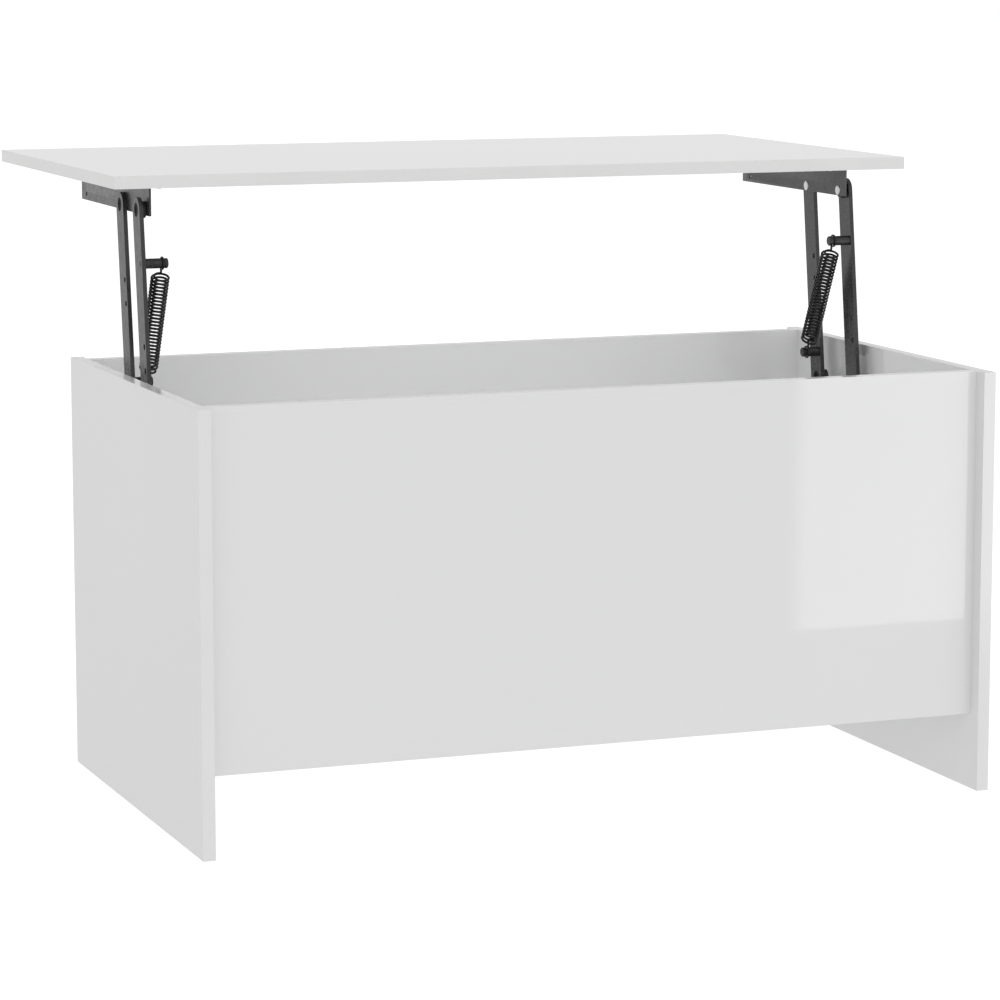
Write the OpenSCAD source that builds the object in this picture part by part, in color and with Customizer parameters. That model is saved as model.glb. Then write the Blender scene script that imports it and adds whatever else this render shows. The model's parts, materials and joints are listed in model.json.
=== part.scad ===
// Lift top coffee table with its top raised. Millimetres, +Z up, the table's front faces -Y.
// The origin is on the floor, under the middle of the whole table as it stands with its top raised.

/* [Cabinet] */
// outside width over the two end panels
box_w = 990; // [825:1:1190]
// depth of the end panels
box_d = 550; // [458:1:660]
// height of the end panels
box_h = 510; // [425:1:612]
// thickness of every cabinet board
board = 15; // [15:0.5:22]
// how far the front panel stands back from the end panels' front edges
front_recess = 20; // [5:1:30]
// how far the back panel stands in from the end panels' back edges
back_recess = 20; // [5:1:30]
// gap under the front and back panels
skirt_z = 92; // [60:1:140]
// how far the bottom board lies above the panels' lower edges
board_rise = 8; // [2:1:20]

/* [Top] */
// how far the top reaches past each end panel
top_over = 15; // [0:1:30]
// how far the closed top reaches past the end panels' front and back edges
top_lip = 0; // [0:1:10]
// thickness of the top
top_t = 15; // [15:1:25]
// height the top rises from closed
lift = 225; // [205:1:235]
// distance the top moves back as it rises
travel = 277; // [265:1:280]

/* [Linkage] */
// arm length between its two pivots
arm_len = 247; // [240:0.1:300]
// width of the flat bar of an arm
arm_w = 30; // [22:0.1:31.5]
// thickness of the flat bar of an arm
arm_t = 5; // [3:0.5:5]
// distance from the front arm to the back arm
arm_gap = 92; // [85:1:100]
// gap between the front panel and the closed bracket under the top
front_gap = 15; // [3:0.5:25]
// how far the upper pivots lie under the top
pivot_drop = 29.8; // [28:0.1:34]
// thickness of the bent sheet brackets
sheet = 2.5; // [2:0.5:3]
// how far the base bracket's web stands off the end panel
standoff = 11.7; // [10:0.1:12]
// free play between neighbouring moving layers
play = 0.3; // [0.2:0.05:0.5]

/* [Brackets] */
// length of the bracket under the top
rail_len = 308; // [280:1:320]
// how far that bracket reaches in front of the front pivot
rail_front = 20; // [18:1:22]
// hole near the back end of that bracket
rail_hole_d = 6; // [4:0.5:8]
// how far that hole lies from the bracket's back end
rail_hole_in = 23; // [15:1:30]
// metal of its web below the pivots
rail_below = 6.6; // [6:0.1:7]
// width of its flange under the top
rail_flange = 30; // [24:1:40]
// depth of the base bracket's flange down the end panel
foot_h = 50; // [40:1:70]
// metal of the base bracket around its pivots
foot_edge = 10; // [9:1:13]
// how far the base bracket's upper edge lies below its pivots, between them
foot_dip = 4; // [0:1:8]
// width of the base bracket's ear round the stop stud
stop_pad = 11; // [10:1:14]
// where the base bracket's bend starts, below its pivots
bend_low = 32; // [28:1:40]
// where the base bracket's bend ends, below its pivots
bend_high = 17; // [15:1:20]

/* [Rivets and pins] */
// shank of a pivot rivet
rivet_d = 8; // [6:0.1:9.6]
// sunk head of a pivot rivet
rivet_head_d = 16; // [12:0.5:18]
// thickness of the sunk head
rivet_head_t = 1.6; // [1:0.1:1.8]
// domed head of a pivot rivet
dome_d = 12.5; // [10:0.5:15]
// height of the domed head
dome_t = 1.4; // [1:0.1:2]
// gap all round a shank that turns in its hole
turn_fit = 0.08; // [0.03:0.01:0.1]
// gap all round a shank that stays still in its hole
still_fit = 0.02; // [0.01:0.01:0.05]
// outside of a spacer
spacer_d = 20; // [14:0.5:24]
// body of a spring pin
pin_d = 12; // [10:0.5:12]
// how far a spring pin reaches in from the end panel
pin_reach = 47.5; // [45:0.5:50]
// end of a spring pin that is riveted into its arm
tenon_d = 7; // [6:0.5:8]
// how far a spring pin stands in front of the arm's centre line
pin_off = 8; // [8:0.1:9]
// distance of the upper spring pin below the front arm's upper pivot
pin_top = 64; // [60:1:70]
// height of the lower spring pin along the back arm
pin_low = 33; // [30:1:40]
// distance of the front arm's first spare spring hole below its upper pivot
front_spare = 162; // [150:1:175]
// distance of the back arm's first spare spring hole below its upper pivot
back_spare = 91; // [85:1:110]
// distance between an arm's two spare holes
spare_step = 28.5; // [15:0.5:30]
// bottom of the groove for the spring's hook
groove_d = 10; // [7:0.5:10]
// width of that groove
groove_w = 3.4; // [3:0.1:4]
// shank of the stop stud
stop_d = 6; // [5:0.5:7]
// height of the stop stud beside the front arm
stop_up = 8; // [7:0.5:9]

/* [Springs] */
// outside of the spring
spring_d = 23; // [18:0.5:23]
// wire of the spring
wire_d = 2.8; // [2:0.1:3]
// length of the wound body
coil_len = 134; // [125:1:138]
// number of turns
turns = 28; // [18:1:33]
// middle of the spring, in from the end panel
spring_in = 41; // [41:0.5:42]
// gap between a hook and the pin's groove
hook_fit = 0.3; // [0.2:0.05:0.5]

/* [Fixings] */
// height of the lower fixings above the front and back panels' lower edges
fix_low = 60; // [50:1:90]
// distance of the upper fixings below the end panels' tops
fix_high = 90; // [60:1:120]
// distance from a cam fixing to the dowel beside it
dowel_step = 40; // [30:1:60]
// cam housing
cam_d = 15; // [12:1:15]
// depth of the cam housing
cam_t = 12.3; // [11:0.1:12.4]
// middle of the cam housing from the board's end
cam_in = 34; // [28:1:40]
// screw of the cam bolt in the end panel
bolt_thread_d = 6.3; // [5:0.1:7]
// length of that screw
bolt_thread = 11; // [8:0.5:12]
// shank of the cam bolt
bolt_d = 7; // [6:0.5:7]
// wooden dowel
dowel_d = 8; // [6:1:8]
// length of the dowel
dowel_len = 30; // [25:1:35]
// depth of the dowel in the end panel
dowel_in = 11; // [8:0.5:12]
// gap all round a fixing in its hole
fix_fit = 0.1; // [0.05:0.05:0.2]
// shank of a bracket screw
screw_d = 4; // [3:0.5:4.5]
// head of a bracket screw
screw_head_d = 8; // [7:0.5:9]
// height of a bracket screw's head
screw_head_t = 2.2; // [1.5:0.1:3]
// depth of a bracket screw in the board
screw_len = 12; // [9:0.5:13]

/* [Hidden] */
$fn = 48;
e = 0.01;
top_w = box_w + 2 * top_over;
top_d = box_d + 2 * top_lip;
// the cabinet's middle, front to back: the cabinet reaches as far in front of the origin
// as the raised top does behind it
cab_y = -(travel + top_lip) / 2;
inner_x = box_w / 2 - board;
front_y = cab_y - box_d / 2 + front_recess;
back_y = cab_y + box_d / 2 - back_recess;
floor_z = skirt_z + board_rise;
raised_z = box_h + lift;
// the arms' angle from upright: leaning back when raised, folded forward when closed
chord = sqrt(travel * travel + lift * lift);
half_turn = asin(chord / (2 * arm_len));
lean = half_turn - atan2(lift, travel);
// upper and lower pivots with the top raised
up_z = raised_z - pivot_drop;
up_y = front_y + board + front_gap + rail_front + travel;
low_y = up_y - arm_len * sin(lean);
low_z = up_z - arm_len * cos(lean);
// layers across the mechanism, measured in from the end panel
foot_a = standoff;
foot_b = foot_a + sheet;
outer_a = foot_b + play;
outer_b = outer_a + arm_t;
inner_a = outer_b + play;
inner_b = inner_a + arm_t;
rail_a = inner_b + play;
rail_b = rail_a + sheet;
// the stop stud touches the back edge of the raised front arm
stop_side = arm_w / 2 + stop_d / 2 + play;
stop_y = low_y + stop_up * sin(lean) + stop_side * cos(lean);
stop_z = low_z + stop_up * cos(lean) - stop_side * sin(lean);
// the spring's line between its two pins
pin_high = arm_len - pin_top;
span_y = -arm_gap + (pin_high - pin_low) * sin(lean);
span_z = (pin_high - pin_low) * cos(lean);
span = sqrt(span_y * span_y + span_z * span_z);
spring_turn = atan2(-span_y, span_z);
hook_r = groove_d / 2 + hook_fit + wire_d / 2;
coil_start = (span - coil_len) / 2;
pitch = coil_len / turns;
// board fixings: [front to back, height, turn of the cam's mouth]
low_fix = skirt_z + fix_low;
high_fix = box_h - fix_high;
floor_mid = floor_z + board / 2;
cams = [[front_y + board / 2, low_fix, 0], [front_y + board / 2, high_fix, 0],
        [back_y - board / 2, low_fix, 180], [back_y - board / 2, high_fix, 180],
        [cab_y - box_d * 0.3, floor_mid, 90], [cab_y + box_d * 0.3, floor_mid, 90]];
dowels = [[front_y + board / 2, low_fix + dowel_step], [front_y + board / 2, high_fix - dowel_step],
          [back_y - board / 2, low_fix + dowel_step], [back_y - board / 2, high_fix - dowel_step],
          [cab_y - box_d * 0.12, floor_mid], [cab_y + box_d * 0.12, floor_mid]];
foot_screws = [-arm_gap * 0.1, arm_gap / 2, arm_gap * 1.1];
rail_screws = [-rail_front + 12, arm_gap / 2, arm_gap + 70, rail_len - rail_front - 40];

// side 1 is the right end, side -1 its mirror image
module at_side(side) {
  if (side < 0) mirror([1, 0, 0]) children();
  else children();
}

// a disc lying across the mechanism, from a to b in from the end panel
module across(d, a, b, y, z) {
  translate([inner_x - b, y, z]) rotate([0, 90, 0]) cylinder(d = d, h = b - a);
}

// local z runs in from the end panel
module fixing(y, z, turn = 0) {
  translate([inner_x, y, z]) rotate([0, -90, 0]) rotate([0, 0, turn]) children();
}

module board_holes() {
  for (s = [-1, 1]) at_side(s) {
    for (c = cams) fixing(c[0], c[1], c[2]) {
      translate([0, 0, -1]) cylinder(d = bolt_d + 1, h = cam_in + 1);
      translate([0, board / 2 + 1, cam_in]) rotate([90, 0, 0])
        cylinder(d = cam_d + 2 * fix_fit, h = cam_t + fix_fit + 1);
    }
    for (c = dowels) fixing(c[0], c[1])
      translate([0, 0, -1]) cylinder(d = dowel_d + 2 * fix_fit, h = dowel_len - dowel_in + 2);
  }
}

module end_panel() {
  color("white") difference() {
    translate([inner_x, cab_y - box_d / 2, 0]) cube([board, box_d, box_h]);
    for (c = cams) fixing(c[0], c[1])
      translate([0, 0, -bolt_thread - 0.5]) cylinder(d = bolt_thread_d + 2 * still_fit, h = bolt_thread + 1);
    for (c = dowels) fixing(c[0], c[1])
      translate([0, 0, -dowel_in - 0.5]) cylinder(d = dowel_d + 2 * fix_fit, h = dowel_in + 1);
    for (y = foot_screws) fixing(low_y + y, low_z - bend_low - foot_h / 2)
      translate([0, 0, -screw_len - 0.5]) cylinder(d = screw_d + 2 * still_fit, h = screw_len + 1);
  }
}

module front_panel() {
  color("white") difference() {
    translate([-inner_x, front_y, skirt_z]) cube([2 * inner_x, board, box_h - skirt_z]);
    board_holes();
  }
}

module back_panel() {
  color("white") difference() {
    translate([-inner_x, back_y - board, skirt_z]) cube([2 * inner_x, board, box_h - skirt_z]);
    board_holes();
  }
}

module bottom_board() {
  color("white") difference() {
    translate([-inner_x, front_y + board, floor_z])
      cube([2 * inner_x, back_y - front_y - 2 * board, board]);
    board_holes();
  }
}

module cam_bolts() {
  color("silver") for (s = [-1, 1]) at_side(s) for (c = cams) fixing(c[0], c[1]) {
    translate([0, 0, -bolt_thread]) cylinder(d = bolt_thread_d, h = bolt_thread);
    cylinder(d = bolt_d, h = cam_in - cam_d / 2 - 2);
    cylinder(d = bolt_d - 2.5, h = cam_in - 2 + e);
    translate([0, 0, cam_in - 2]) cylinder(d = bolt_d - 0.4, h = 3.5);
  }
}

module cam_housings() {
  color("silver") for (s = [-1, 1]) at_side(s) for (c = cams) fixing(c[0], c[1], c[2])
    difference() {
      translate([0, board / 2, cam_in]) rotate([90, 0, 0]) cylinder(d = cam_d, h = cam_t);
      translate([0, 0, cam_in - cam_d]) cylinder(d = bolt_d + 0.4, h = cam_d + 3);
      translate([-cam_d * 0.3, board / 2 - 1.5, cam_in - 0.6]) cube([cam_d * 0.6, 2, 1.2]);
    }
}

module dowels() {
  color("burlywood") for (s = [-1, 1]) at_side(s) for (c = dowels) fixing(c[0], c[1])
    translate([0, 0, -dowel_in]) cylinder(d = dowel_d, h = dowel_len);
}

// the web's ear round the stop stud, with one rounded corner
module stop_ear() {
  foot = low_z - bend_high;
  translate([inner_x - foot_b, low_y, foot])
    cube([sheet, stop_y - low_y, stop_z + stop_pad / 2 - foot]);
  translate([inner_x - foot_b, low_y, foot])
    cube([sheet, stop_y + stop_pad / 2 - low_y, stop_z - foot]);
  across(stop_pad, foot_a, foot_b, stop_y, stop_z);
}

// a bent plate: its flange lies on the end panel, its web stands off and carries the arms
module base_bracket() {
  color("dimgray") difference() {
    union() {
      translate([inner_x, low_y - foot_edge, low_z]) rotate([90, 0, 0]) mirror([0, 0, 1])
        linear_extrude(arm_gap + 2 * foot_edge)
          polygon([[0, -bend_low - foot_h], [0, -bend_low], [-foot_a, -bend_high],
                   [-foot_a, -foot_dip], [-foot_b, -foot_dip], [-foot_b, -bend_high - 1],
                   [-sheet, -bend_low - 1], [-sheet, -bend_low - foot_h]]);
      for (y = [0, arm_gap]) across(2 * foot_edge, foot_a, foot_b, low_y + y, low_z);
      stop_ear();
    }
    for (y = [0, arm_gap])
      across(rivet_d + 2 * still_fit, foot_a - 1, foot_b + 1, low_y + y, low_z);
    across(stop_d - 2 + 2 * still_fit, foot_a - 1, foot_b + 1, stop_y, stop_z);
    for (y = foot_screws)
      across(screw_d + 2 * fix_fit, -1, sheet + 1, low_y + y, low_z - bend_low - foot_h / 2);
  }
}

module base_screws() {
  color("silver") for (s = [-1, 1]) at_side(s) for (y = foot_screws)
    fixing(low_y + y, low_z - bend_low - foot_h / 2) {
      translate([0, 0, -screw_len]) cylinder(d = screw_d, h = screw_len + sheet + e);
      translate([0, 0, sheet]) cylinder(d1 = screw_head_d, d2 = screw_head_d * 0.7, h = screw_head_t);
    }
}

// shank from the domed head on a web to the sunk head in an arm
module rivet(y, z, dome, web, arm, head) {
  across(dome_d, min(dome, web), max(dome, web), y, z);
  across(rivet_d, min(web, head), max(web, head), y, z);
  across(rivet_head_d, min(arm, head), max(arm, head), y, z);
}

module base_rivets() {
  color("silver") for (s = [-1, 1]) at_side(s) {
    rivet(low_y, low_z, foot_a - dome_t, foot_a, outer_b - rivet_head_t, outer_b);
    rivet(low_y + arm_gap, low_z, foot_a - dome_t, foot_a, inner_b - rivet_head_t, inner_b);
  }
}

module base_spacers() {
  color("dimgray") for (s = [-1, 1]) at_side(s) difference() {
    across(spacer_d, foot_b, inner_a - play, low_y + arm_gap, low_z);
    across(rivet_d + 2 * still_fit, foot_b - 1, inner_a + 1, low_y + arm_gap, low_z);
  }
}

module stop_studs() {
  color("silver") for (s = [-1, 1]) at_side(s) {
    across(stop_d - 2, foot_a - 1, foot_b + e, stop_y, stop_z);
    across(stop_d, foot_b, outer_b, stop_y, stop_z);
  }
}

// flat bar with round ends, standing from a lower pivot and leaning back
module bar(a, b, y) {
  translate([inner_x - b, y, low_z]) rotate([-lean, 0, 0]) {
    translate([0, -arm_w / 2, 0]) cube([b - a, arm_w, arm_len]);
    for (z = [0, arm_len]) translate([0, 0, z]) rotate([0, 90, 0]) cylinder(d = arm_w, h = b - a);
  }
}

// hole through the bar at a height along it, with a given forward offset
module bar_hole(d, a, b, y, up, off) {
  translate([inner_x - b, y, low_z]) rotate([-lean, 0, 0])
    translate([0, -off, up]) rotate([0, 90, 0]) cylinder(d = d, h = b - a);
}

module arm(a, b, y, pin_up, spare) {
  color("dimgray") difference() {
    bar(a, b, y);
    for (z = [0, arm_len]) bar_hole(rivet_d + 2 * turn_fit, a - 1, b + 1, y, z, 0);
    bar_hole(rivet_head_d + 0.4, b - rivet_head_t - play, b + 1, y, 0, 0);
    bar_hole(rivet_head_d + 0.4, a - 1, a + rivet_head_t + play, y, arm_len, 0);
    bar_hole(tenon_d + 2 * still_fit, a - 1, b + 1, y, pin_up, pin_off);
    for (z = [spare, spare + spare_step]) bar_hole(tenon_d, a - 1, b + 1, y, arm_len - z, pin_off);
  }
}

module front_arm() {
  arm(outer_a, outer_b, low_y, pin_high, front_spare);
}

module back_arm() {
  arm(inner_a, inner_b, low_y + arm_gap, pin_low, back_spare);
}

// spring pin: riveted end in the arm, grooved end under the top
module spring_pin(a, b, y, up) {
  color("dimgray") difference() {
    union() {
      bar_hole(tenon_d, a, b + e, y, up, pin_off);
      bar_hole(pin_d, b, pin_reach, y, up, pin_off);
    }
    difference() {
      bar_hole(pin_d + 2, spring_in - groove_w / 2, spring_in + groove_w / 2, y, up, pin_off);
      bar_hole(groove_d, spring_in - groove_w, spring_in + groove_w, y, up, pin_off);
    }
  }
}

module upper_pin() {
  spring_pin(outer_a, outer_b, low_y, pin_high);
}

module lower_pin() {
  spring_pin(inner_a, inner_b, low_y + arm_gap, pin_low);
}

// local origin on the lower pin, local z along the spring to the upper pin
module spring_line() {
  translate([inner_x - spring_in, low_y + arm_gap, low_z]) rotate([-lean, 0, 0])
    translate([0, -pin_off, pin_low]) rotate([lean + spring_turn, 0, 0]) children();
}

// a hook: a loop round the pin's groove, a straight stem and the bar it turns off
module hook() {
  rotate([0, 90, 0]) rotate_extrude() translate([hook_r, 0]) circle(d = wire_d, $fn = 24);
  translate([0, 0, hook_r]) cylinder(d = wire_d, h = coil_start - hook_r - wire_d / 2);
  translate([-spring_d / 2 + wire_d / 2, 0, coil_start - wire_d / 4]) rotate([0, 90, 0])
    cylinder(d = wire_d, h = spring_d - wire_d);
}

module spring() {
  r = spring_d / 2;
  color("dimgray") spring_line() {
    hook();
    translate([0, 0, coil_start]) rotate_extrude() polygon(concat(
      [[r - wire_d, 0]],
      [for (i = [0:turns - 1]) each [[r - wire_d / 3, pitch * i + 0.1], [r, pitch * (i + 0.35)],
                                   [r, pitch * (i + 0.65)], [r - wire_d / 3, pitch * (i + 1) - 0.1]]],
      [[r - wire_d, coil_len]]));
  }
}

module spring_hook() {
  color("dimgray") spring_line() translate([0, 0, span]) mirror([0, 0, 1])
    difference() {
      hook();
      translate([-spring_d, -spring_d, coil_start - play])
        cube([2 * spring_d, 2 * spring_d, wire_d + play]);
    }
}

module top() {
  color("white") difference() {
    translate([-top_w / 2, cab_y + travel - top_d / 2, raised_z]) cube([top_w, top_d, top_t]);
    for (s = [-1, 1]) at_side(s) for (y = rail_screws)
      translate([inner_x - rail_a - rail_flange * 0.55, up_y + y, raised_z - 1])
        cylinder(d = screw_d + 2 * still_fit, h = screw_len + 1.5);
  }
}

// angle bracket screwed under the top: flange on the board, web down to the arms
module top_bracket() {
  y0 = up_y - rail_front;
  z0 = up_z - rail_below;
  color("dimgray") difference() {
    union() {
      translate([inner_x - rail_b, y0, z0]) cube([sheet, rail_len, raised_z - z0]);
      translate([inner_x - rail_a - rail_flange, y0, raised_z - sheet])
        cube([rail_flange, rail_len, sheet]);
    }
    for (y = [0, arm_gap])
      across(rivet_d + 2 * still_fit, rail_a - 1, rail_b + 1, up_y + y, up_z);
    across(rail_hole_d, rail_a - 1, rail_b + 1, y0 + rail_len - rail_hole_in, up_z + 1);
    for (y = rail_screws)
      translate([inner_x - rail_a - rail_flange * 0.55, up_y + y, raised_z - sheet - 1])
        cylinder(d = screw_d + 2 * fix_fit, h = sheet + 2);
  }
}

module top_screws() {
  color("silver") for (s = [-1, 1]) at_side(s) for (y = rail_screws)
    translate([inner_x - rail_a - rail_flange * 0.55, up_y + y, raised_z]) {
      translate([0, 0, -sheet - e]) cylinder(d = screw_d, h = screw_len + sheet);
      translate([0, 0, -sheet - screw_head_t])
        cylinder(d1 = screw_head_d * 0.7, d2 = screw_head_d, h = screw_head_t);
    }
}

module top_rivets() {
  color("silver") for (s = [-1, 1]) at_side(s) {
    rivet(up_y, up_z, rail_b, rail_b + dome_t, outer_a, outer_a + rivet_head_t);
    rivet(up_y + arm_gap, up_z, rail_b, rail_b + dome_t, inner_a, inner_a + rivet_head_t);
    for (y = [0, arm_gap])
      across(rivet_d, y > 0 ? inner_a : outer_a, rail_b + e, up_y + y, up_z);
  }
}

module top_spacers() {
  color("dimgray") for (s = [-1, 1]) at_side(s) difference() {
    across(spacer_d, outer_b + play, rail_a, up_y, up_z);
    across(rivet_d + 2 * still_fit, outer_b, rail_a + 1, up_y, up_z);
  }
}

at_side(-1) end_panel();  // end_panel_left
at_side(1) end_panel();  // end_panel_right
front_panel();
back_panel();
bottom_board();
cam_bolts();
cam_housings();
dowels();
at_side(-1) base_bracket();  // base_bracket_left
at_side(1) base_bracket();  // base_bracket_right
base_screws();
base_rivets();
base_spacers();
stop_studs();
at_side(-1) front_arm();  // front_arm_left
at_side(1) front_arm();  // front_arm_right
at_side(-1) upper_pin();  // upper_pin_left
at_side(1) upper_pin();  // upper_pin_right
at_side(-1) back_arm();  // back_arm_left
at_side(1) back_arm();  // back_arm_right
at_side(-1) lower_pin();  // lower_pin_left
at_side(1) lower_pin();  // lower_pin_right
at_side(-1) spring();  // spring_left
at_side(1) spring();  // spring_right
at_side(-1) spring_hook();  // spring_hook_left
at_side(1) spring_hook();  // spring_hook_right
top();
at_side(-1) top_bracket();  // top_bracket_left
at_side(1) top_bracket();  // top_bracket_right
top_screws();
top_rivets();
top_spacers();
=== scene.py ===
import json
import math

import bpy
from mathutils import Matrix, Vector


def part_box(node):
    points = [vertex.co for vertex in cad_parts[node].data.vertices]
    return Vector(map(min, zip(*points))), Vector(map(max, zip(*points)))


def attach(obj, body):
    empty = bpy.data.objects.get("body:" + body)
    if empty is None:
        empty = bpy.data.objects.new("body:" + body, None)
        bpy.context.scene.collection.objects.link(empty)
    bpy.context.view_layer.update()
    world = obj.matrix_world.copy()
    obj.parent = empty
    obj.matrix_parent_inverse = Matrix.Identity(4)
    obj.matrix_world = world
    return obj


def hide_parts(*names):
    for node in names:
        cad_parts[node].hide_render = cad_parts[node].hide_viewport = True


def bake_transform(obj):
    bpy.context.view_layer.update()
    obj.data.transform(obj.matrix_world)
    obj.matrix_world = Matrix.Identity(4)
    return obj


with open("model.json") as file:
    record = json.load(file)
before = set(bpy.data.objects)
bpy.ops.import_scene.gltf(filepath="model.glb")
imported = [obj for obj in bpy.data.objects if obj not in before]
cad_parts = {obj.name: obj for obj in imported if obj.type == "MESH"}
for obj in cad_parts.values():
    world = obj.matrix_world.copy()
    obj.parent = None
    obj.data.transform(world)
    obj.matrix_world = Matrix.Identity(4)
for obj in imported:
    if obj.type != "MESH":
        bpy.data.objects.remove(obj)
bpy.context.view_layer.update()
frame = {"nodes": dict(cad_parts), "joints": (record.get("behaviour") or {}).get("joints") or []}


# ---- Camera and studio -------------------------------------------------------------------
# A long lens, higher than the raised top, stands before the table and out past its left end. It
# is tilted down until the table stands in the middle of the frame.
camera_place = (-1.67003, -4.39939, 1.04523)
camera_turn = math.radians(-21.016)
camera_tilt = math.radians(90 - 8.715)
lens_in_frames = 3.795
bpy.ops.object.camera_add(location=camera_place, rotation=(camera_tilt, 0, camera_turn))
camera = bpy.context.object
camera.data.sensor_width = 36
camera.data.lens = lens_in_frames * camera.data.sensor_width
camera.data.clip_end = 60
bpy.context.scene.camera = camera
bpy.context.scene.view_settings.view_transform = "Standard"

# The room is a white cove. What falls on a surface is the light of soft panels at about head
# height, strongest in front; what gloss shows is an even pale wall; the cove itself is white.
room = bpy.data.worlds.new("white_cove")
bpy.context.scene.world = room
room.use_nodes = True
links, nodes = room.node_tree.links, room.node_tree.nodes
nodes.clear()
look = nodes.new("ShaderNodeTexCoord")
direction = nodes.new("ShaderNodeSeparateXYZ")
links.new(look.outputs["Generated"], direction.inputs[0])


def by_direction(axis, stops):
    """Brightness over one axis of the looking direction, from stops of (-1 to 1, brightness)."""
    spread = nodes.new("ShaderNodeMapRange")
    spread.inputs["From Min"].default_value = -1
    links.new(direction.outputs[axis], spread.inputs["Value"])
    ramp = nodes.new("ShaderNodeValToRGB")
    while len(ramp.color_ramp.elements) < len(stops):
        ramp.color_ramp.elements.new(0.5)
    for element, (place, level) in zip(ramp.color_ramp.elements, stops):
        element.position = (place + 1) / 2
        element.color = (level, level, level, 1)
    links.new(spread.outputs["Result"], ramp.inputs["Fac"])
    return ramp.outputs["Color"]


def times(first, second):
    """Two brightnesses multiplied."""
    product = nodes.new("ShaderNodeVectorMath")
    product.operation = "MULTIPLY"
    links.new(first, product.inputs[0])
    links.new(second, product.inputs[1])
    return product.outputs["Vector"]


def background(strength, colour=None):
    """Light from the room, white unless a colour is given."""
    light = nodes.new("ShaderNodeBackground")
    light.inputs["Color"].default_value = (1, 1, 1, 1)
    light.inputs["Strength"].default_value = strength
    if colour:
        links.new(colour, light.inputs["Color"])
    return light.outputs[0]


def mixed(fac, first, second):
    """The first shader where fac is 0, the second where it is 1."""
    blend = nodes.new("ShaderNodeMixShader")
    links.new(fac, blend.inputs["Fac"])
    links.new(first, blend.inputs[1])
    links.new(second, blend.inputs[2])
    return blend.outputs[0]


panels = times(by_direction("Z", [(-1, 0.5), (0, 0.9), (0.25, 1.0), (0.6, 0.70), (1, 0.36)]),
               times(by_direction("Y", [(-1, 1.0), (0, 0.86), (1, 0.70)]),
                     by_direction("X", [(-1, 0.80), (0, 0.95), (1, 1.0)])))
path = nodes.new("ShaderNodeLightPath")
surface = nodes.new("ShaderNodeOutputWorld")
lit = mixed(path.outputs["Is Glossy Ray"], background(1.26, panels), background(0.84))
links.new(mixed(path.outputs["Is Camera Ray"], lit, background(1.0)), surface.inputs["Surface"])


def screen(name, width, height, place, strength):
    """An upright light screen that only gloss shows, dimmer to its left and soft at its sides and foot.

    Each fade runs along one axis, from its low level at start to full strength at end."""
    fades = (("X", 0.0, 0.03, 0), ("X", 0.0, 0.6, 0.6), ("X", 1.0, 0.88, 0), ("Y", 0.0, 0.15, 0))
    bpy.ops.mesh.primitive_plane_add(size=1)
    panel = bpy.context.object
    panel.name = name
    panel.data.transform(Matrix.Translation(place) @ Matrix.Rotation(math.pi / 2, 4, "X")
                         @ Matrix.Diagonal((width, height, 1, 1)))
    material = bpy.data.materials.new(name)
    material.use_nodes = True
    tree = material.node_tree
    tree.nodes.clear()
    spot = tree.nodes.new("ShaderNodeTexCoord")
    across_up = tree.nodes.new("ShaderNodeSeparateXYZ")
    tree.links.new(spot.outputs["UV"], across_up.inputs[0])
    level = None
    for axis, start, end, low in fades:
        edge = tree.nodes.new("ShaderNodeMapRange")
        edge.interpolation_type = "SMOOTHSTEP"
        for socket, number in (("From Min", start), ("From Max", end), ("To Min", low)):
            edge.inputs[socket].default_value = number
        tree.links.new(across_up.outputs[axis], edge.inputs["Value"])
        if level is None:
            level = edge.outputs["Result"]
            continue
        product = tree.nodes.new("ShaderNodeMath")
        product.operation = "MULTIPLY"
        tree.links.new(level, product.inputs[0])
        tree.links.new(edge.outputs["Result"], product.inputs[1])
        level = product.outputs[0]
    clear = tree.nodes.new("ShaderNodeBsdfTransparent")
    light = tree.nodes.new("ShaderNodeEmission")
    light.inputs["Strength"].default_value = strength
    mix = tree.nodes.new("ShaderNodeMixShader")
    out = tree.nodes.new("ShaderNodeOutputMaterial")
    tree.links.new(level, mix.inputs["Fac"])
    tree.links.new(clear.outputs[0], mix.inputs[1])
    tree.links.new(light.outputs[0], mix.inputs[2])
    tree.links.new(mix.outputs[0], out.inputs["Surface"])
    panel.data.materials.append(material)
    panel.visible_camera = panel.visible_diffuse = panel.visible_shadow = False


# The floor is the white cove running on under the table, burnt out to white but for a faint
# shadow where the table stands. It throws less light back up than it shows.
bpy.ops.mesh.primitive_plane_add(size=60)
floor = bpy.context.object
floor.name = "cove_floor"
paint = bpy.data.materials.new("cove_paint")
paint.use_nodes = True
links, nodes = paint.node_tree.links, paint.node_tree.nodes
nodes["Principled BSDF"].inputs["Base Color"].default_value = (0.25, 0.25, 0.25, 1)
nodes["Principled BSDF"].inputs["Roughness"].default_value = 0.9
floor_path = nodes.new("ShaderNodeLightPath")
burnt_out = nodes.new("ShaderNodeMapRange")
burnt_out.inputs["To Min"].default_value = 0.58
burnt_out.inputs["To Max"].default_value = 0.90
links.new(floor_path.outputs["Is Camera Ray"], burnt_out.inputs["Value"])
nodes["Principled BSDF"].inputs["Emission Color"].default_value = (1, 1, 1, 1)
links.new(burnt_out.outputs["Result"], nodes["Principled BSDF"].inputs["Emission Strength"])
floor.data.materials.append(paint)

screen("front_strip", 1.2, 0.62, (1.31, -1.40, 0.21), 2.9)

# A weak soft light on the cabinet's bottom fills its inside.
bpy.ops.object.light_add(type="AREA", location=(0, -0.14, 0.16), rotation=(math.pi, 0, 0))
fill = bpy.context.object
fill.name = "cabinet_fill"
fill.data.shape = "RECTANGLE"
fill.data.size, fill.data.size_y = 0.85, 0.42
fill.data.energy = 0.68
fill.visible_camera = fill.visible_glossy = False


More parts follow.
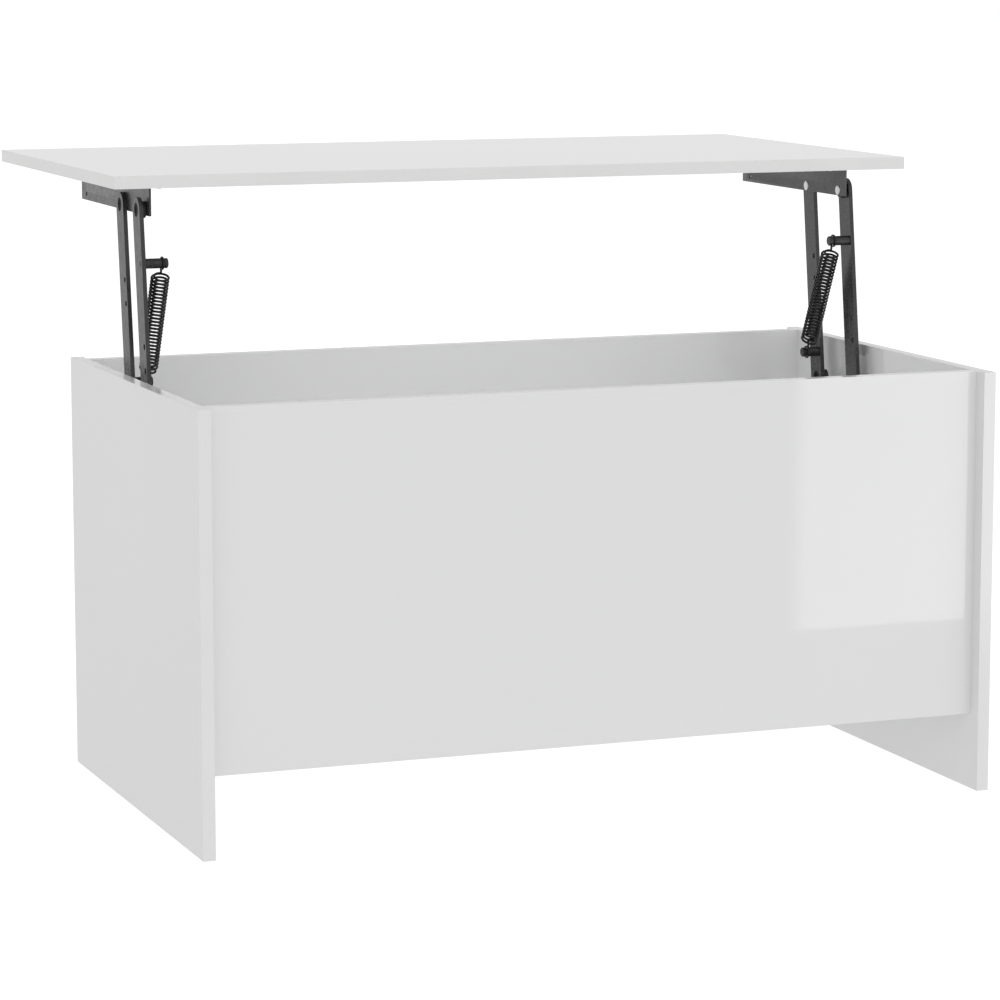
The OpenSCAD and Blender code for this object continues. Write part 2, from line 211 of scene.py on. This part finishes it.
# ---- Boards --------------------------------------------------------------------------------
# Chipboard, 15 mm thick, faced with white high-gloss lacquer and sawn to size. Its narrow
# sides carry a glued band of the same white, and all its corners are slightly rounded.
edge_round = 0.0008
merge_gap = 0.000005


def selected_alone(piece):
    """Selects one piece, makes it active and deselects the rest."""
    bpy.ops.object.select_all(action="DESELECT")
    piece.select_set(True)
    bpy.context.view_layer.objects.active = piece


def worked_copy(node, name, rounding, steps):
    """A new piece cut to a CAD node's shape, with its sharp corners rounded over."""
    piece = bpy.data.objects.new(name, frame["nodes"][node].data.copy())
    bpy.context.scene.collection.objects.link(piece)
    piece.data.materials.clear()
    selected_alone(piece)
    bpy.ops.mesh.customdata_custom_splitnormals_clear()
    bpy.ops.object.mode_set(mode="EDIT")
    bpy.ops.mesh.select_all(action="SELECT")
    bpy.ops.mesh.remove_doubles(threshold=merge_gap)
    bpy.ops.mesh.dissolve_limited(angle_limit=math.radians(1))
    bpy.ops.object.mode_set(mode="OBJECT")
    corner = piece.modifiers.new("corner", "BEVEL")
    corner.width = rounding
    corner.segments = steps
    corner.limit_method = "ANGLE"
    corner.angle_limit = math.radians(40)
    bpy.ops.object.modifier_apply(modifier=corner.name)
    return piece


def material_nodes(name, roughness, metallic=0.0):
    """A new material with its shader and the piece's own coordinates."""
    material = bpy.data.materials.new(name)
    material.use_nodes = True
    tree = material.node_tree
    shader = tree.nodes["Principled BSDF"]
    shader.inputs["Roughness"].default_value = roughness
    shader.inputs["Metallic"].default_value = metallic
    place = tree.nodes.new("ShaderNodeTexCoord").outputs["Object"]
    return material, tree, shader, place


def noise(tree, place, per_metre, detail=2.0, stretch=(1, 1, 1)):
    """Cloudy variation with so many spots per metre."""
    mapping = tree.nodes.new("ShaderNodeMapping")
    mapping.inputs["Scale"].default_value = stretch
    tree.links.new(place, mapping.inputs["Vector"])
    clouds = tree.nodes.new("ShaderNodeTexNoise")
    clouds.inputs["Scale"].default_value = per_metre
    clouds.inputs["Detail"].default_value = detail
    tree.links.new(mapping.outputs["Vector"], clouds.inputs["Vector"])
    return clouds.outputs["Fac"]


noise_low, noise_high = 0.3, 0.7


def between(tree, value, low, high):
    """The noise's usual range spread from low to high."""
    spread = tree.nodes.new("ShaderNodeMapRange")
    spread.inputs["From Min"].default_value = noise_low
    spread.inputs["From Max"].default_value = noise_high
    spread.inputs["To Min"].default_value = low
    spread.inputs["To Max"].default_value = high
    tree.links.new(value, spread.inputs["Value"])
    return spread.outputs["Result"]


def colours(tree, value, dark, light):
    """The noise's usual range turned into colours from dark to light."""
    ramp = tree.nodes.new("ShaderNodeValToRGB")
    for stop, place, colour in zip(ramp.color_ramp.elements, (noise_low, noise_high), (dark, light)):
        stop.position, stop.color = place, (*colour, 1)
    tree.links.new(value, ramp.inputs["Fac"])
    return ramp.outputs["Color"]


def relief(tree, shader, value, depth, strength=1.0):
    """The value as a relief so many metres deep."""
    bump = tree.nodes.new("ShaderNodeBump")
    bump.inputs["Distance"].default_value = depth
    bump.inputs["Strength"].default_value = strength
    tree.links.new(value, bump.inputs["Height"])
    tree.links.new(bump.outputs["Normal"], shader.inputs["Normal"])


# White lacquer, polished: faint orange peel, and a trace of haze where hands have wiped it.
lacquer, tree, shader, place = material_nodes("white_gloss_lacquer", 0.035)
shader.inputs["IOR"].default_value = 1.5
shader.inputs["Coat Weight"].default_value = 0.35
shader.inputs["Coat Roughness"].default_value = 0.03
tree.links.new(colours(tree, noise(tree, place, 3.5), (0.842, 0.844, 0.846), (0.856, 0.857, 0.857)),
               shader.inputs["Base Color"])
tree.links.new(between(tree, noise(tree, place, 9, 4), 0.02, 0.05), shader.inputs["Roughness"])
relief(tree, shader, noise(tree, place, 95, 1), 0.000012)

# The edge band is the same white but a shade warmer, rolled on, with faint long streaks.
band, tree, shader, place = material_nodes("white_edge_band", 0.16)
shader.inputs["IOR"].default_value = 1.5
tree.links.new(colours(tree, noise(tree, place, 14), (0.842, 0.841, 0.837), (0.862, 0.861, 0.857)),
               shader.inputs["Base Color"])
tree.links.new(between(tree, noise(tree, place, 60, 3), 0.12, 0.22), shader.inputs["Roughness"])
relief(tree, shader, noise(tree, place, 260, 2), 0.000008)


def board(node, name, thickness_axis, body):
    """A board with lacquered faces and banded narrow sides."""
    piece = worked_copy(node, name, edge_round, 3)
    piece.data.materials.append(lacquer)
    piece.data.materials.append(band)
    for face in piece.data.polygons:
        face.material_index = 0 if abs(face.normal[thickness_axis]) > 0.7 else 1
        face.use_smooth = False
    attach(piece, body)
    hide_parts(node)


board("end_panel_left", "left_end_board", 0, "cabinet")
board("end_panel_right", "right_end_board", 0, "cabinet")
board("front_panel", "front_board", 1, "cabinet")
board("back_panel", "back_board", 1, "cabinet")
board("bottom_board", "storage_floor_board", 2, "cabinet")
board("top", "table_top_board", 2, "top")


# ---- Bent and flat steel ---------------------------------------------------------------------
# The arms are punched from 5 mm strip and the brackets bent from 2.5 mm sheet, tumbled to
# break their corners and powder coated satin black.
steel_round = 0.0004
powder_coat, tree, shader, place = material_nodes("black_powder_coat", 0.26)
shader.inputs["IOR"].default_value = 1.5
tree.links.new(colours(tree, noise(tree, place, 45, 3), (0.026, 0.026, 0.027), (0.040, 0.040, 0.041)),
               shader.inputs["Base Color"])
tree.links.new(between(tree, noise(tree, place, 120, 3), 0.21, 0.32), shader.inputs["Roughness"])
relief(tree, shader, noise(tree, place, 1900, 2), 0.00004, 0.6)


def steel(node, name, body):
    """A punched or bent piece in black powder coat."""
    piece = worked_copy(node, name, steel_round, 2)
    piece.data.materials.append(powder_coat)
    bpy.ops.object.shade_smooth_by_angle(angle=math.radians(20))
    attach(piece, body)
    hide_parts(node)


for side in ("left", "right"):
    steel(f"base_bracket_{side}", f"{side}_base_plate", "cabinet")
    steel(f"top_bracket_{side}", f"{side}_top_angle", "top")
    steel(f"front_arm_{side}", f"{side}_front_link", f"front_arm_{side}")
    steel(f"back_arm_{side}", f"{side}_back_link", f"back_arm_{side}")


# ---- Turned pins -------------------------------------------------------------------------------
# Each spring hangs between two turned steel pins, blacked like the arms. A pin is riveted into
# its arm at one end, and has a groove for the spring's hook near the other.
pins_black, tree, shader, place = material_nodes("blacked_pin_steel", 0.3, 0.6)
tree.links.new(colours(tree, noise(tree, place, 150, 3), (0.030, 0.030, 0.032), (0.055, 0.055, 0.057)),
               shader.inputs["Base Color"])
tree.links.new(between(tree, noise(tree, place, 300, 3, (8, 1, 1)), 0.24, 0.42), shader.inputs["Roughness"])
relief(tree, shader, noise(tree, place, 500, 2, (6, 1, 1)), 0.00003, 0.5)


def turned(name, outline, sides=48):
    """A turned piece along X, from its outline of (distance, radius) pairs."""
    start, radius = outline[0]
    bpy.ops.mesh.primitive_circle_add(vertices=sides, radius=radius, fill_type="NGON",
                                      location=(start, 0, 0), rotation=(0, math.pi / 2, 0))
    piece = bpy.context.object
    piece.name = name
    bpy.ops.object.transform_apply()
    bpy.ops.object.mode_set(mode="EDIT")
    bpy.ops.mesh.select_all(action="SELECT")
    for distance, next_radius in outline[1:]:
        bpy.ops.mesh.extrude_region_move(TRANSFORM_OT_translate={"value": (distance - start, 0, 0)})
        bpy.ops.transform.resize(value=(1, next_radius / radius, next_radius / radius),
                                 center_override=(distance, 0, 0))
        start, radius = distance, next_radius
    bpy.ops.mesh.select_all(action="SELECT")
    bpy.ops.mesh.normals_make_consistent(inside=False)
    bpy.ops.object.mode_set(mode="OBJECT")
    bpy.ops.object.shade_smooth_by_angle(angle=math.radians(25))
    return piece


def middle(node):
    """The middle of a CAD node's box."""
    low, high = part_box(node)
    return (low + high) / 2


def place_turned(piece, centre, side):
    """Sets a piece turned for the right side at its height and depth, mirrored for the left."""
    piece.data.transform(Matrix.Translation((0, centre.y, centre.z)))
    if side == "left":
        piece.data.transform(Matrix.Diagonal((-1, 1, 1, 1)))
        piece.data.flip_normals()


pin_radius, tenon_radius, groove_radius = 0.006, 0.0035, 0.005
peened_radius, peened_high, centre_mark_radius = 0.0022, 0.0001, 0.0012
groove_half, groove_round = 0.0017, 0.0003
chamfer = 0.0006
spring_line = next(abs(joint["pos_m"][0]) for joint in frame["joints"]
                   if joint["name"] == "spring_swing_right")


def spring_pin(node, name, arm, side):
    """A pin from the arm's outer face, where it is peened over, to its chamfered free end."""
    arm_low, arm_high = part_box(arm)
    outer = max(abs(arm_low.x), abs(arm_high.x))
    inner = min(abs(arm_low.x), abs(arm_high.x))
    tip = min(abs(corner.x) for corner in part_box(node))
    groove_out, groove_in = spring_line + groove_half, spring_line - groove_half
    pin = turned(name, [
        (outer + peened_high, peened_radius), (outer - 0.0003, tenon_radius - 0.0002),
        (outer - 0.0012, tenon_radius), (inner, tenon_radius),
        (inner, pin_radius - 0.0002), (inner - 0.0002, pin_radius),
        (groove_out + groove_round, pin_radius), (groove_out, pin_radius - groove_round),
        (groove_out - 0.0004, groove_radius), (groove_in + 0.0004, groove_radius),
        (groove_in, pin_radius - groove_round), (groove_in - groove_round, pin_radius),
        (tip + chamfer, pin_radius), (tip, pin_radius - chamfer),
        (tip, centre_mark_radius), (tip + 0.0002, 0.0008)])
    place_turned(pin, middle(node), side)
    pin.data.materials.append(pins_black)
    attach(pin, arm)
    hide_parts(node)


for side in ("left", "right"):
    spring_pin(f"upper_pin_{side}", f"{side}_upper_spring_pin", f"front_arm_{side}", side)
    spring_pin(f"lower_pin_{side}", f"{side}_lower_spring_pin", f"back_arm_{side}", side)


# ---- Springs -------------------------------------------------------------------------------------
# Each spring is one oiled black wire, wound open and ending in a hook round either pin. It
# stretches between them as the top goes down.
oiled_wire, tree, shader, place = material_nodes("oiled_spring_wire", 0.32, 0.75)
tree.links.new(colours(tree, noise(tree, place, 130, 3), (0.020, 0.020, 0.022), (0.045, 0.044, 0.045)),
               shader.inputs["Base Color"])
tree.links.new(between(tree, noise(tree, place, 420, 3), 0.22, 0.40), shader.inputs["Roughness"])
relief(tree, shader, noise(tree, place, 900, 2), 0.00003, 0.4)

wire_radius = 0.0014
coil_radius = 0.0115 - wire_radius
coil_length = 0.134
turns, steps_per_turn = 28, 12
hook_play = 0.0003
hook_radius = groove_radius + hook_play + wire_radius
hook_bend = 0.0022


def hook_path(reach):
    """A hook round a pin at the origin, and its stem running out to the coil at reach.

    The points are (across, along): along is towards the coil, where the hook is open."""
    loop_start, loop_end, loop_steps = math.radians(35), math.radians(318), 16
    points = []
    for i in range(loop_steps + 1):
        angle = loop_start + (loop_end - loop_start) * i / loop_steps
        points.append((hook_radius * math.sin(angle), hook_radius * math.cos(angle)))
    points.append((-0.0006, hook_radius + hook_bend))
    points.append((0, reach - hook_bend))
    return points


def spring_points(length):
    """The wire's middle line, with the lower pin at the origin and the upper one up the Z axis."""
    start = (length - coil_length) / 2
    hook = hook_path(start)
    points = [Vector((0, across, along)) for across, along in hook]
    last = turns * steps_per_turn
    end_share, widening_steps = 0.35, 5
    for i in range(last + 1):
        angle = 2 * math.pi * i / steps_per_turn
        from_end = min(i, last - i)
        radius = coil_radius * min(1, end_share + (1 - end_share) * from_end / widening_steps)
        height = start + coil_length * i / last
        points.append(Vector((radius * math.sin(angle), radius * math.cos(angle), height)))
    points += [Vector((0, -across, length - along)) for across, along in reversed(hook)]
    return points


def spring(side):
    """One wire from pin to pin."""
    lower, upper = middle(f"lower_pin_{side}"), middle(f"upper_pin_{side}")
    lower.x = upper.x = spring_line if side == "right" else -spring_line
    line = upper - lower
    curve = bpy.data.curves.new(f"{side}_wire", "CURVE")
    curve.dimensions = "3D"
    curve.resolution_u = 3
    curve.bevel_depth = wire_radius
    curve.bevel_resolution = 3
    curve.use_fill_caps = True
    points = spring_points(line.length)
    wire = curve.splines.new("BEZIER")
    wire.bezier_points.add(len(points) - 1)
    for knot, point in zip(wire.bezier_points, points):
        knot.co = point
        knot.handle_left_type = knot.handle_right_type = "AUTO"
    piece = bpy.data.objects.new(f"{side}_extension_spring", curve)
    bpy.context.scene.collection.objects.link(piece)
    selected_alone(piece)
    bpy.ops.object.convert(target="MESH")
    piece = bpy.context.object
    lean = math.atan2(-line.y, line.z)
    piece.data.transform(Matrix.Translation(lower) @ Matrix.Rotation(lean, 4, "X"))
    bpy.ops.object.mode_set(mode="EDIT")
    bpy.ops.mesh.select_all(action="SELECT")
    bpy.ops.mesh.remove_doubles(threshold=merge_gap)
    bpy.ops.mesh.normals_make_consistent(inside=False)
    bpy.ops.object.mode_set(mode="OBJECT")
    bpy.ops.object.shade_smooth_by_angle(angle=math.radians(50))
    piece.data.materials.append(oiled_wire)
    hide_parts(f"spring_{side}", f"spring_hook_{side}")
    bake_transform(piece)


for side in ("left", "right"):
    spring(side)


# ---- Rivets ------------------------------------------------------------------------------------
# Solid steel rivets are the pivots. A rivet's dished head sits in its arm's recess, black and painted darker
# still as the shade of a deep hole, and its other end is domed over on the far side of the bracket and bright
# zinc plated.
zinc_plate, tree, shader, place = material_nodes("bright_zinc_plate", 0.34, 1.0)
tree.links.new(colours(tree, noise(tree, place, 220, 3), (0.70, 0.705, 0.71), (0.83, 0.835, 0.84)),
               shader.inputs["Base Color"])
tree.links.new(between(tree, noise(tree, place, 500, 3), 0.28, 0.45), shader.inputs["Roughness"])
relief(tree, shader, noise(tree, place, 1400, 2), 0.00003, 0.35)

# The sunk heads' colour is painted shade: near black, darker than the arms' coat and with little gloss, so
# they read as deep shaded holes.
rivet_head_black_with_painted_shade, tree, shader, place = material_nodes("rivet_head_black_with_painted_recess_shade", 0.65)
shader.inputs["Specular IOR Level"].default_value = 0.12
tree.links.new(colours(tree, noise(tree, place, 260, 3), (0.006, 0.006, 0.006), (0.016, 0.016, 0.015)),
               shader.inputs["Base Color"])
tree.links.new(between(tree, noise(tree, place, 420, 3), 0.55, 0.75), shader.inputs["Roughness"])
relief(tree, shader, noise(tree, place, 1100, 2), 0.00004, 0.5)

pivots = {joint["name"]: Vector(joint["pos_m"]) for joint in frame["joints"] if joint["type"] == "hinge"}
base_back = pivots["lift"]
base_front = pivots["front_arm_left_pivot"]
top_back = pivots["top_pivot"]
top_front = top_back + base_front - base_back


def layer(node):
    """How far out a node's faces across the table lie: (inner, outer)."""
    reach = sorted(abs(corner.x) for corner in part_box(node))
    return reach[0], reach[1]


def joined(name, pieces, node, body):
    """Like pieces that one CAD node holds, as one piece."""
    bpy.ops.object.select_all(action="DESELECT")
    for piece in pieces:
        piece.select_set(True)
    bpy.context.view_layer.objects.active = pieces[0]
    bpy.ops.object.join()
    whole = bpy.context.object
    whole.name = name
    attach(whole, body)
    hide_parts(node)


rivet_radius, head_radius, dome_radius = 0.004, 0.008, 0.00625
head_thick, dome_high = 0.0016, 0.0014
dome_curve = ((0.45, 0.97), (0.80, 0.84), (0.97, 0.62), (1, 0.2))
sheet_thick = 0.0025
front_in, front_out = layer("front_arm_left")
back_in, back_out = layer("back_arm_left")
base_web_out = layer("base_rivets")[1] - dome_high
base_web_in = base_web_out - sheet_thick
top_web_out = layer("top_bracket_left")[1]
top_web_in = top_web_out - sheet_thick


def rivet(sunk_face, outwards, web_face, centre, side):
    """A rivet from its dished head's face to the dome on the bracket's far face.

    outwards is 1 where the dome is nearer the end panel than the sunk head, else -1."""
    head = [(0.0009, 0.0006), (0.0008, 0.0030), (0.0003, 0.0046), (0.0001, 0.0052),
            (0.0001, head_radius - 0.0007), (0.0005, head_radius), (head_thick, head_radius),
            (head_thick, rivet_radius)]
    dome = [(0, rivet_radius), (0, dome_radius)]
    dome += [(dome_high * rise, dome_radius * width) for rise, width in dome_curve]
    outline = [(sunk_face + outwards * depth, radius) for depth, radius in head]
    outline += [(web_face + outwards * height, radius) for height, radius in dome]
    piece = turned("rivet", outline)
    piece.data.materials.append(rivet_head_black_with_painted_shade)
    piece.data.materials.append(zinc_plate)
    # Faces on the sunk head's side take the near-black painted shade; faces on the dome's side take bright
    # zinc.
    for face in piece.data.polygons:
        face.material_index = 1 if (face.center.x - web_face) * outwards > -0.0001 else 0
    place_turned(piece, centre, side)
    return piece


base_rivets, top_rivets = [], []
for side in ("left", "right"):
    base_rivets.append(rivet(front_in, 1, base_web_out, base_front, side))
    base_rivets.append(rivet(back_in, 1, base_web_out, base_back, side))
    top_rivets.append(rivet(front_out, -1, top_web_in, top_front, side))
    top_rivets.append(rivet(back_out, -1, top_web_in, top_back, side))
joined("lower_pivot_rivets", base_rivets, "base_rivets", "cabinet")
joined("upper_pivot_rivets", top_rivets, "top_rivets", "top")


# ---- Spacers and stop studs ------------------------------------------------------------------------
# Turned steel rings, blacked, fill the gap between a bracket and the arm that stands off it. A
# zinc plated stud, peened into the base bracket, stops the raised front arm.
spacer_radius, spacer_bore, spacer_chamfer = 0.010, 0.00402, 0.0005
arm_clearance = 0.0003
stud_radius, stud_tenon_radius, stud_chamfer = 0.0030, 0.0020, 0.0006


def spacer(inner, outer, centre, side):
    """A chamfered ring between two faces, with its rivet's bore."""
    ring = turned("spacer", [(inner, spacer_bore), (inner, spacer_radius - spacer_chamfer),
                             (inner + spacer_chamfer, spacer_radius), (outer - spacer_chamfer, spacer_radius),
                             (outer, spacer_radius - spacer_chamfer), (outer, spacer_bore)])
    selected_alone(ring)
    bpy.ops.object.mode_set(mode="EDIT")
    bpy.ops.mesh.select_all(action="DESELECT")
    bpy.ops.mesh.select_mode(type="FACE")
    bpy.ops.object.mode_set(mode="OBJECT")
    for face in ring.data.polygons:
        face.select = len(face.vertices) > 4
    bpy.ops.object.mode_set(mode="EDIT")
    bpy.ops.mesh.delete(type="ONLY_FACE")
    bpy.ops.mesh.select_mode(type="EDGE")
    bpy.ops.mesh.select_non_manifold()
    bpy.ops.mesh.bridge_edge_loops()
    bpy.ops.mesh.select_all(action="SELECT")
    bpy.ops.mesh.normals_make_consistent(inside=False)
    bpy.ops.object.mode_set(mode="OBJECT")
    bpy.ops.object.shade_smooth_by_angle(angle=math.radians(25))
    ring.data.materials.append(pins_black)
    place_turned(ring, centre, side)
    return ring


def stop_stud(side):
    """A chamfered stud from the front arm's inner face out to its peened end on the bracket."""
    stud = turned("stud", [(front_in, stud_radius - stud_chamfer), (front_in + stud_chamfer, stud_radius),
                           (base_web_in, stud_radius), (base_web_in, stud_tenon_radius),
                           (base_web_out + 0.0001, stud_tenon_radius), (base_web_out + 0.0004, 0.0012)])
    stud.data.materials.append(zinc_plate)
    place_turned(stud, middle("stop_studs"), side)
    return stud


base_spacers, top_spacers, studs = [], [], []
for side in ("left", "right"):
    base_spacers.append(spacer(back_out + arm_clearance, base_web_in, base_back, side))
    top_spacers.append(spacer(top_web_out, front_in - arm_clearance, top_front, side))
    studs.append(stop_stud(side))
joined("back_arm_spacers", base_spacers, "base_spacers", "cabinet")
joined("front_arm_spacers", top_spacers, "top_spacers", "top")
joined("arm_stop_studs", studs, "stop_studs", "cabinet")


# ---- Screws, cam fittings and dowels -------------------------------------------------------------
# Zinc plated screws hold the brackets to the boards. The boards are held together by zinc plated
# bolts in die-cast cam housings, with a beech dowel beside each.
die_cast, tree, shader, place = material_nodes("die_cast_zinc", 0.5, 0.9)
tree.links.new(colours(tree, noise(tree, place, 180, 4), (0.42, 0.425, 0.43), (0.58, 0.585, 0.59)),
               shader.inputs["Base Color"])
tree.links.new(between(tree, noise(tree, place, 300, 3), 0.4, 0.6), shader.inputs["Roughness"])
relief(tree, shader, noise(tree, place, 900, 3), 0.00006, 0.5)

beech, tree, shader, place = material_nodes("beech", 0.6)
grain = noise(tree, place, 300, 4, (0.05, 1, 1))
tree.links.new(colours(tree, grain, (0.56, 0.39, 0.22), (0.70, 0.52, 0.33)), shader.inputs["Base Color"])
relief(tree, shader, noise(tree, place, 600, 3, (0.05, 1, 1)), 0.00005, 0.5)

for node, material in (("base_screws", zinc_plate), ("top_screws", zinc_plate), ("cam_bolts", zinc_plate),
                       ("cam_housings", die_cast), ("dowels", beech)):
    frame["nodes"][node].data.materials.clear()
    frame["nodes"][node].data.materials.append(material)
